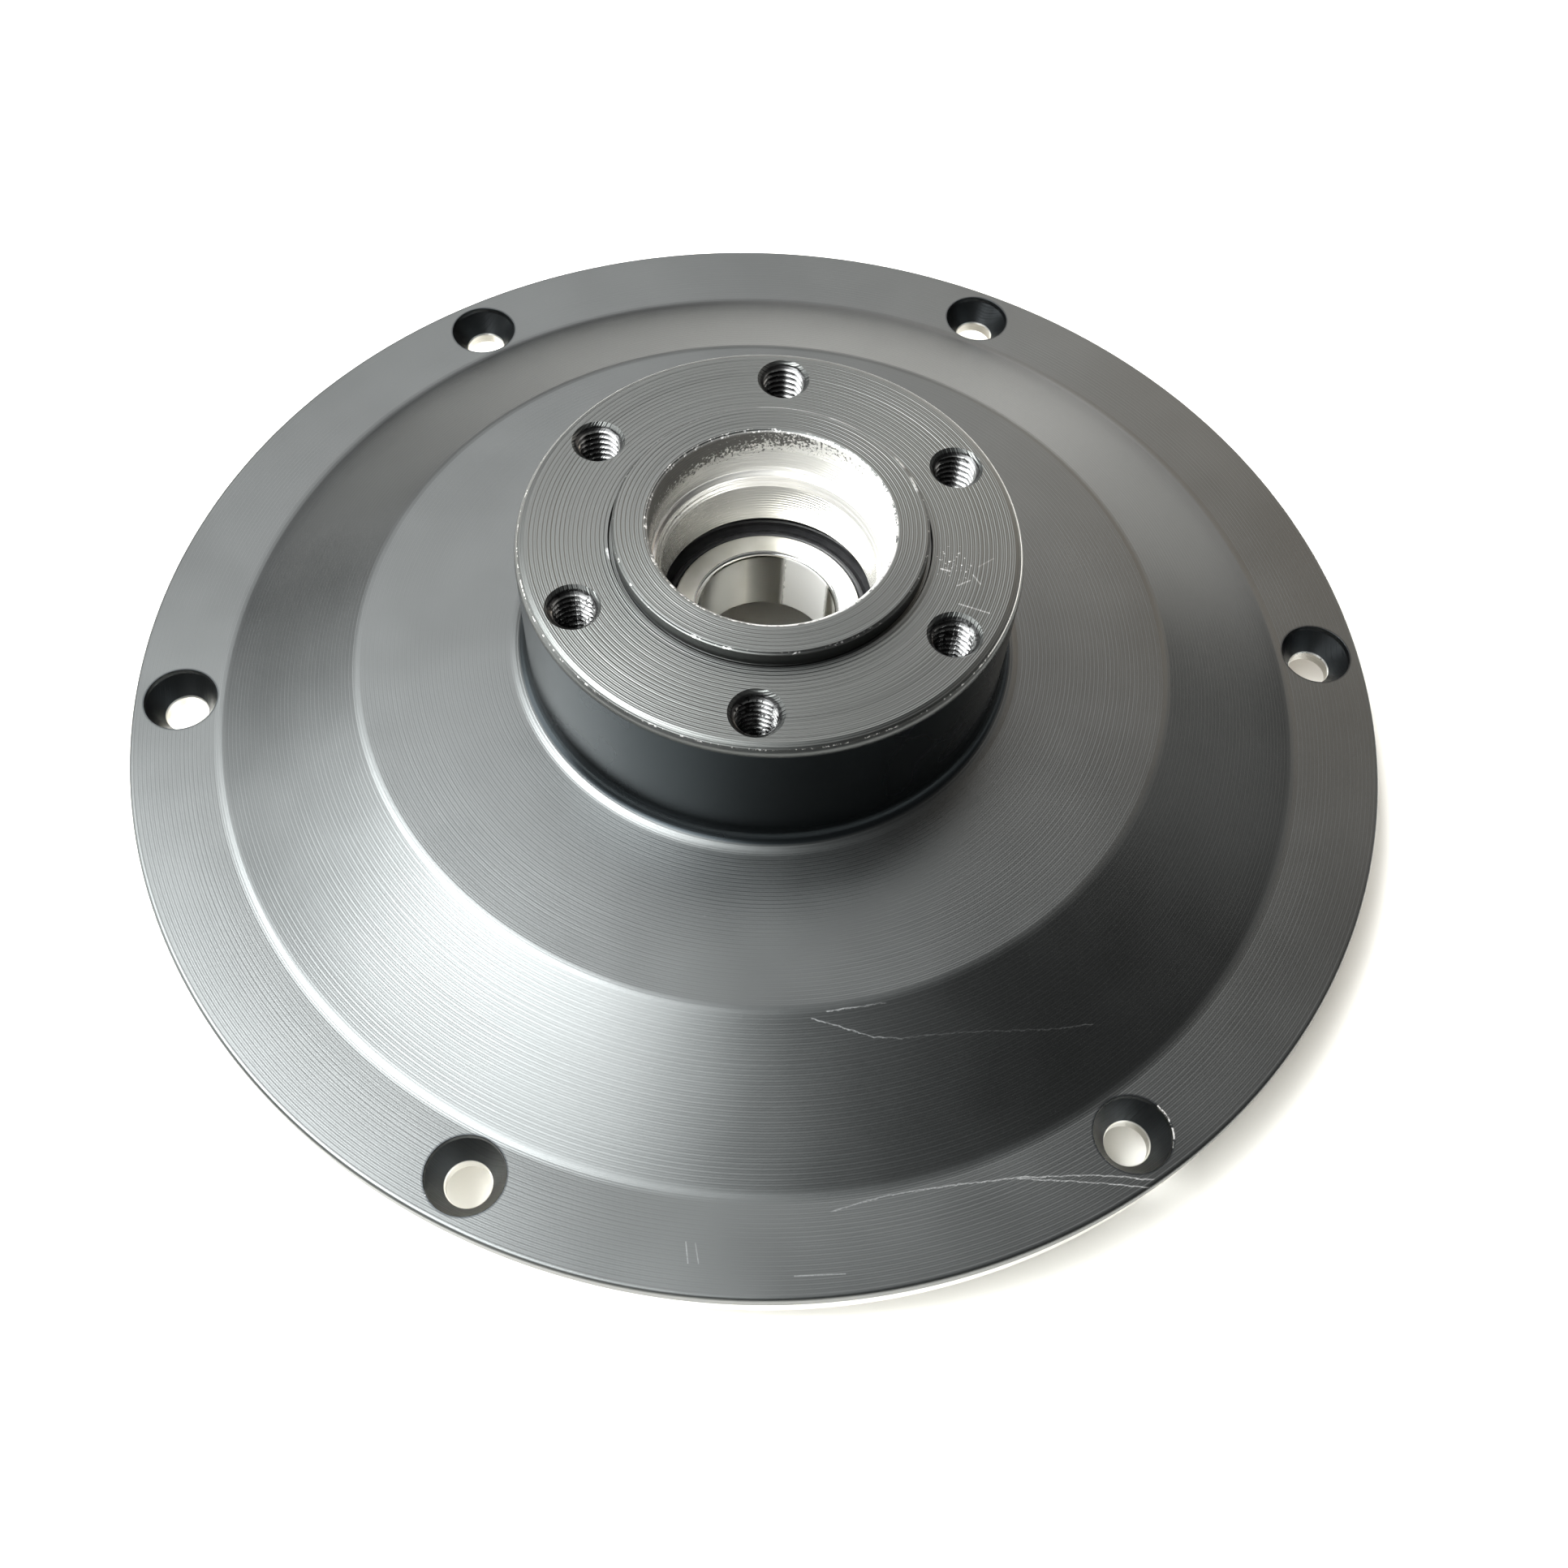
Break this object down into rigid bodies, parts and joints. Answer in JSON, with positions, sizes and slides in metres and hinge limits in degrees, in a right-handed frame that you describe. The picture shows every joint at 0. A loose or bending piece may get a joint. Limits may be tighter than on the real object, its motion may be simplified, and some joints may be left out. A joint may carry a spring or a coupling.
{
  "type": "hub motor side cover",
  "caption": "Round hub motor side cover: flat screw rim, two cones, a tall rotor boss with spigot, and a sealed ball bearing in its bore.",
  "frame": {"origin": "on the wheel axis at the foot of the register lip, which is the plane the cover stands on", "axes": "+Z along the wheel axis, out of the boss; +X through one of the rim screw holes"},
  "size_m": [0.1424, 0.1424, 0.0375],
  "materials": {
    "black_cover": "satin black anodised, fine turning grooves",
    "bearing_steel": "ground",
    "ball_steel": "polished",
    "cage_steel": "pressed strip",
    "seal_rubber": "moulded"
  },
  "bodies": {
    "cover": {"side_cover": "black_cover", "bearing_outer_ring": "bearing_steel", "seal_upper": "seal_rubber", "seal_lower": "seal_rubber"},
    "inner_ring": {"bearing_inner_ring": "bearing_steel"},
    "cage": {"cage_half_upper": "cage_steel", "cage_half_lower": "cage_steel", "cage_rivets": "cage_steel"},
    "ball_01_body": {"ball_01": "ball_steel"},
    "ball_02_body": {"ball_02": "ball_steel"},
    "ball_03_body": {"ball_03": "ball_steel"},
    "ball_04_body": {"ball_04": "ball_steel"},
    "ball_05_body": {"ball_05": "ball_steel"},
    "ball_06_body": {"ball_06": "ball_steel"},
    "ball_07_body": {"ball_07": "ball_steel"},
    "ball_08_body": {"ball_08": "ball_steel"},
    "ball_09_body": {"ball_09": "ball_steel"}
  },
  "joints": [
    {"name": "inner_ring_spin", "type": "hinge", "parent": "cover", "child": "inner_ring", "pos_m": [0, 0, 0.0187], "axis": [0, 0, 1], "continuous": true},
    {"name": "cage_spin", "type": "hinge", "parent": "cover", "child": "cage", "pos_m": [0, 0, 0.0187], "axis": [0, 0, 1], "continuous": true},
    {"name": "ball_01_spin", "type": "hinge", "parent": "cage", "child": "ball_01_body", "pos_m": [0.01175, 0, 0.0187], "axis": [0, 0, 1], "continuous": true},
    {"name": "ball_02_spin", "type": "hinge", "parent": "cage", "child": "ball_02_body", "pos_m": [0.009, 0.00755, 0.0187], "axis": [0, 0, 1], "continuous": true},
    {"name": "ball_03_spin", "type": "hinge", "parent": "cage", "child": "ball_03_body", "pos_m": [0.00204, 0.01157, 0.0187], "axis": [0, 0, 1], "continuous": true},
    {"name": "ball_04_spin", "type": "hinge", "parent": "cage", "child": "ball_04_body", "pos_m": [-0.00588, 0.01018, 0.0187], "axis": [0, 0, 1], "continuous": true},
    {"name": "ball_05_spin", "type": "hinge", "parent": "cage", "child": "ball_05_body", "pos_m": [-0.01104, 0.00402, 0.0187], "axis": [0, 0, 1], "continuous": true},
    {"name": "ball_06_spin", "type": "hinge", "parent": "cage", "child": "ball_06_body", "pos_m": [-0.01104, -0.00402, 0.0187], "axis": [0, 0, 1], "continuous": true},
    {"name": "ball_07_spin", "type": "hinge", "parent": "cage", "child": "ball_07_body", "pos_m": [-0.00588, -0.01018, 0.0187], "axis": [0, 0, 1], "continuous": true},
    {"name": "ball_08_spin", "type": "hinge", "parent": "cage", "child": "ball_08_body", "pos_m": [0.00204, -0.01157, 0.0187], "axis": [0, 0, 1], "continuous": true},
    {"name": "ball_09_spin", "type": "hinge", "parent": "cage", "child": "ball_09_body", "pos_m": [0.009, -0.00755, 0.0187], "axis": [0, 0, 1], "continuous": true}
  ],
  "couplings": [
    {"joint": "cage_spin", "follows": "inner_ring_spin", "ratio": 0.39868},
    {"joint": "ball_01_spin", "follows": "inner_ring_spin", "ratio": -2.3661},
    {"joint": "ball_02_spin", "follows": "inner_ring_spin", "ratio": -2.3661},
    {"joint": "ball_03_spin", "follows": "inner_ring_spin", "ratio": -2.3661},
    {"joint": "ball_04_spin", "follows": "inner_ring_spin", "ratio": -2.3661},
    {"joint": "ball_05_spin", "follows": "inner_ring_spin", "ratio": -2.3661},
    {"joint": "ball_06_spin", "follows": "inner_ring_spin", "ratio": -2.3661},
    {"joint": "ball_07_spin", "follows": "inner_ring_spin", "ratio": -2.3661},
    {"joint": "ball_08_spin", "follows": "inner_ring_spin", "ratio": -2.3661},
    {"joint": "ball_09_spin", "follows": "inner_ring_spin", "ratio": -2.3661}
  ]
}
